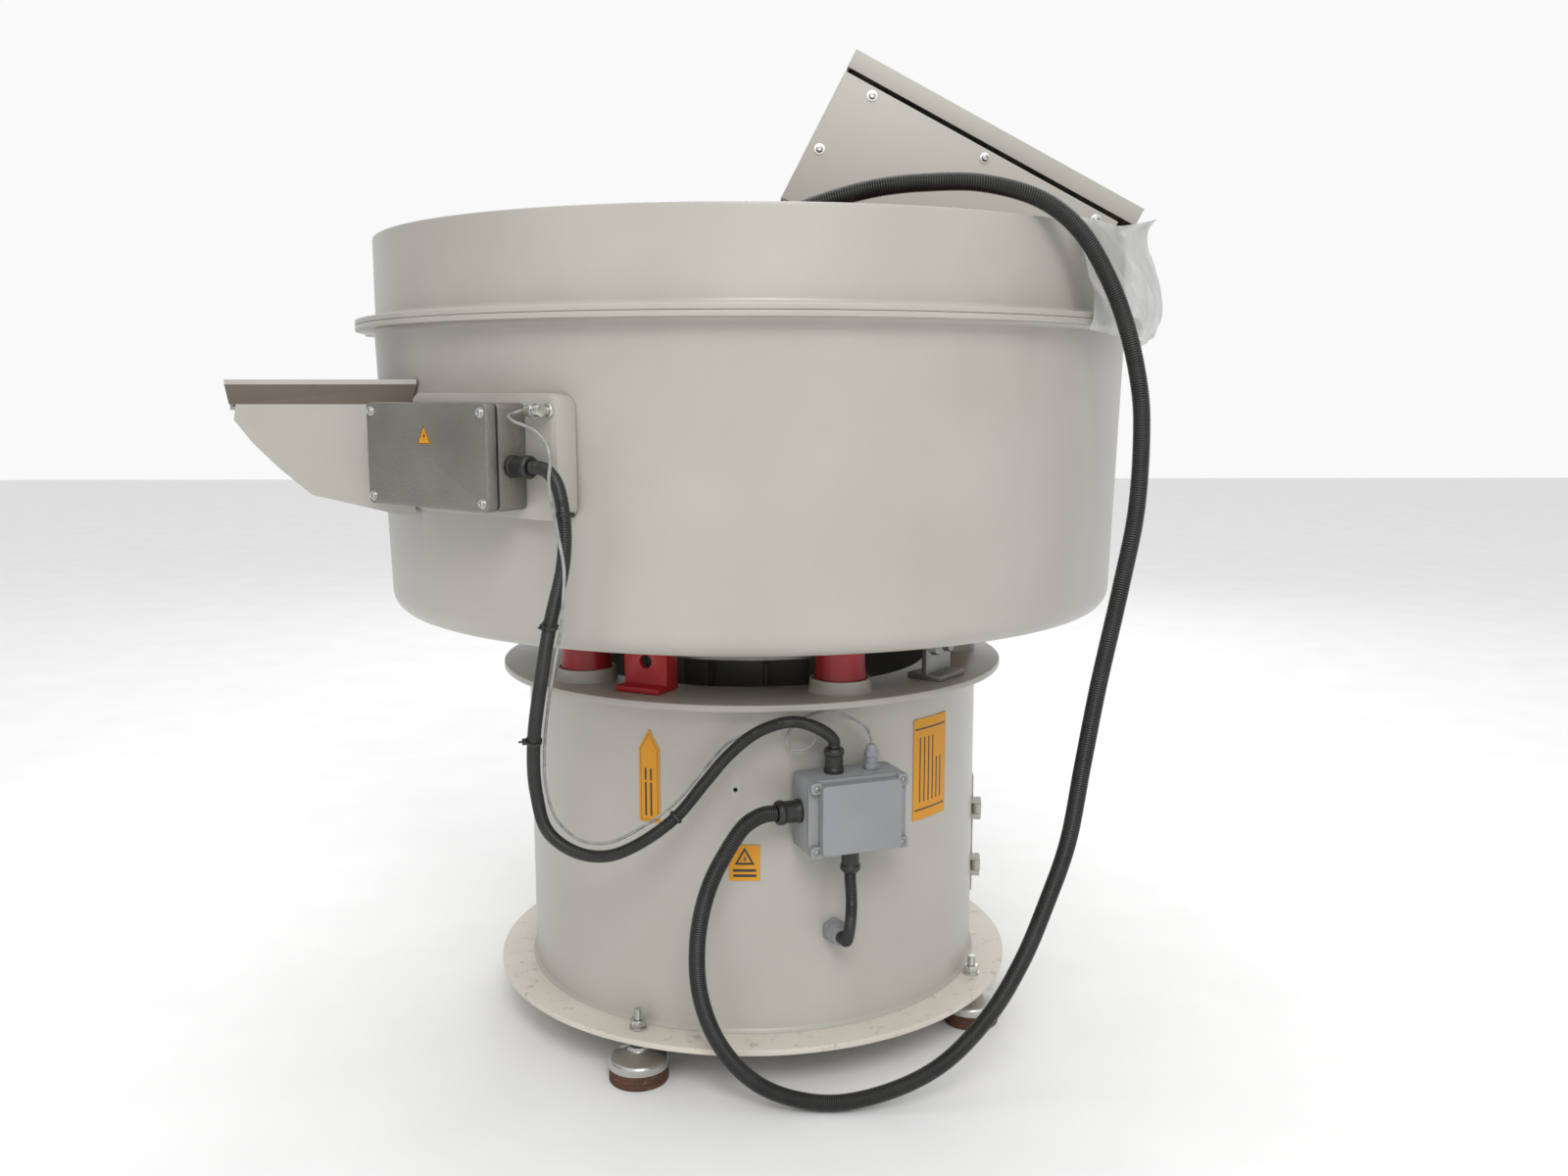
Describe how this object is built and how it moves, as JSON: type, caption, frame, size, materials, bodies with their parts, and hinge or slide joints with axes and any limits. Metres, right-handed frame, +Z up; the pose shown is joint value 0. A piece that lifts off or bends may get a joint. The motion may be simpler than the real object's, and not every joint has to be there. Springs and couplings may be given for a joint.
{
  "type": "vibratory finishing bowl",
  "caption": "Round vibratory finishing bowl on a spring pedestal, with a discharge chute, terminal and junction boxes, flexible conduits and a tilted control cabinet.",
  "frame": {"origin": "on the floor, at the centre of the machine's bounding box without its conduits and wire", "axes": "+Z up; the front with the junction box faces -Y, and the discharge chute points along -X"},
  "size_m": [1.193, 1.119, 1.338],
  "materials": {
    "painted_steel": "semi-gloss warm light grey paint",
    "cabinet_paint": "fine textured light grey powder coat",
    "bare_steel": "bare mill-finish steel",
    "cast_aluminium": "hammered die casting",
    "zinc_plate": "bright zinc plate, slightly dulled",
    "black_plastic": "moulded nylon",
    "conduit_plastic": "corrugated nylon with a soft sheen",
    "grey_plastic": "moulded ABS",
    "wire_sleeve": "thin clear-grey sleeve",
    "label_film": "yellow printed vinyl",
    "spring_red": "red polyurethane",
    "red_paint": "red gloss paint",
    "mount_rubber": "dusty brown rubber",
    "bowl_polyurethane": "cast polyurethane, brick red, satin",
    "button_red": "gloss red",
    "button_green": "gloss green"
  },
  "bodies": {
    "base": {"floor_ring": "painted_steel", "pedestal_shell": "painted_steel", "spring_deck": "painted_steel", "support_spring_1": "spring_red", "support_spring_2": "spring_red", "support_spring_3": "spring_red", "support_spring_4": "spring_red", "support_spring_5": "spring_red", "levelling_mount_1": "zinc_plate", "levelling_mount_2": "zinc_plate", "levelling_mount_3": "zinc_plate", "levelling_mount_4": "zinc_plate", "mount_pad_1": "mount_rubber", "mount_pad_2": "mount_rubber", "mount_pad_3": "mount_rubber", "mount_pad_4": "mount_rubber", "transport_bracket_red": "red_paint", "transport_bracket_grey": "bare_steel", "lifting_arrow_label": "label_film", "instruction_label": "label_film", "hazard_label": "label_film", "junction_box": "grey_plastic", "junction_box_lid": "grey_plastic", "gland_top_black": "black_plastic", "gland_top_grey": "grey_plastic", "gland_side_black": "black_plastic", "gland_bottom_black": "black_plastic", "wall_gland": "grey_plastic", "main_conduit": "conduit_plastic", "motor_conduit": "conduit_plastic", "supply_conduit": "conduit_plastic", "sensor_wire": "wire_sleeve"},
    "bowl": {"bowl_shell": "painted_steel", "bowl_lining": "bowl_polyurethane", "splash_ring": "painted_steel", "hub_cover": "painted_steel", "motor_skirt": "bare_steel", "motor_housing": "cast_aluminium", "discharge_chute": "painted_steel", "separation_screen": "bare_steel", "terminal_box_pad": "painted_steel", "terminal_box": "cast_aluminium", "terminal_box_seal": "black_plastic", "terminal_box_lid": "cast_aluminium", "terminal_box_gland": "black_plastic", "cabinet_body": "cabinet_paint", "cabinet_side_cover": "cabinet_paint", "control_chassis": "zinc_plate", "cabinet_cradle": "cabinet_paint"},
    "rotor": {"motor_shaft": "bare_steel", "upper_weight": "bare_steel", "lower_weight": "bare_steel"},
    "flap": {"discharge_flap": "bare_steel"},
    "access_door": {"access_door": "painted_steel"},
    "access_latch": {"access_door_latch": "black_plastic"},
    "cabinet_door": {"cabinet_door": "cabinet_paint"},
    "cabinet_latch": {"door_latch": "zinc_plate"},
    "stop_button": {"emergency_stop_button": "button_red"},
    "start_button": {"start_button": "button_green"},
    "dial": {"speed_dial": "black_plastic"}
  },
  "joints": [
    {"name": "bowl_bounce", "type": "slide", "parent": "base", "child": "bowl", "axis": [0, 0, 1], "range_m": [-0.005, 0.005], "stiffness_N_per_m": 150000, "springref_m": 0.01645, "deforming": ["support_spring_1", "support_spring_2", "support_spring_3", "support_spring_4", "support_spring_5"]},
    {"name": "rotor_spin", "type": "hinge", "parent": "bowl", "child": "rotor", "pos_m": [0.0435, 0, 0.545], "axis": [0, 0, 1], "continuous": true},
    {"name": "discharge_flap_swing", "type": "hinge", "parent": "bowl", "child": "flap", "pos_m": [-0.4715, -0.2275, 0.904], "axis": [0, -1, 0], "range_deg": [0, 80]},
    {"name": "access_door_hinge", "type": "hinge", "parent": "base", "child": "access_door", "pos_m": [0.38019, -0.04732, 0.24], "axis": [0, 0, -1], "range_deg": [0, 110]},
    {"name": "access_latch_turn", "type": "hinge", "parent": "access_door", "child": "access_latch", "pos_m": [0.33664, 0.15587, 0.24], "axis": [0.8829, 0.4695, 0], "range_deg": [0, 90]},
    {"name": "cabinet_door_hinge", "type": "hinge", "parent": "bowl", "child": "cabinet_door", "pos_m": [0.54881, 0, 1.13763], "axis": [0, 1, 0], "range_deg": [0, 110]},
    {"name": "cabinet_latch_turn", "type": "hinge", "parent": "cabinet_door", "child": "cabinet_latch", "pos_m": [0.20863, 0, 1.32225], "axis": [0.4633, 0, 0.8862], "range_deg": [0, 90]},
    {"name": "stop_button_press", "type": "slide", "parent": "cabinet_door", "child": "stop_button", "axis": [-0.4633, 0, -0.8862], "range_m": [0, 0.004], "stiffness_N_per_m": 600, "springref_m": -0.002},
    {"name": "start_button_press", "type": "slide", "parent": "cabinet_door", "child": "start_button", "axis": [-0.4633, 0, -0.8862], "range_m": [0, 0.003], "stiffness_N_per_m": 600, "springref_m": -0.002},
    {"name": "speed_dial_turn", "type": "hinge", "parent": "cabinet_door", "child": "dial", "pos_m": [0.34688, 0.06, 1.24997], "axis": [0.4633, 0, 0.8862], "range_deg": [0, 270]}
  ]
}
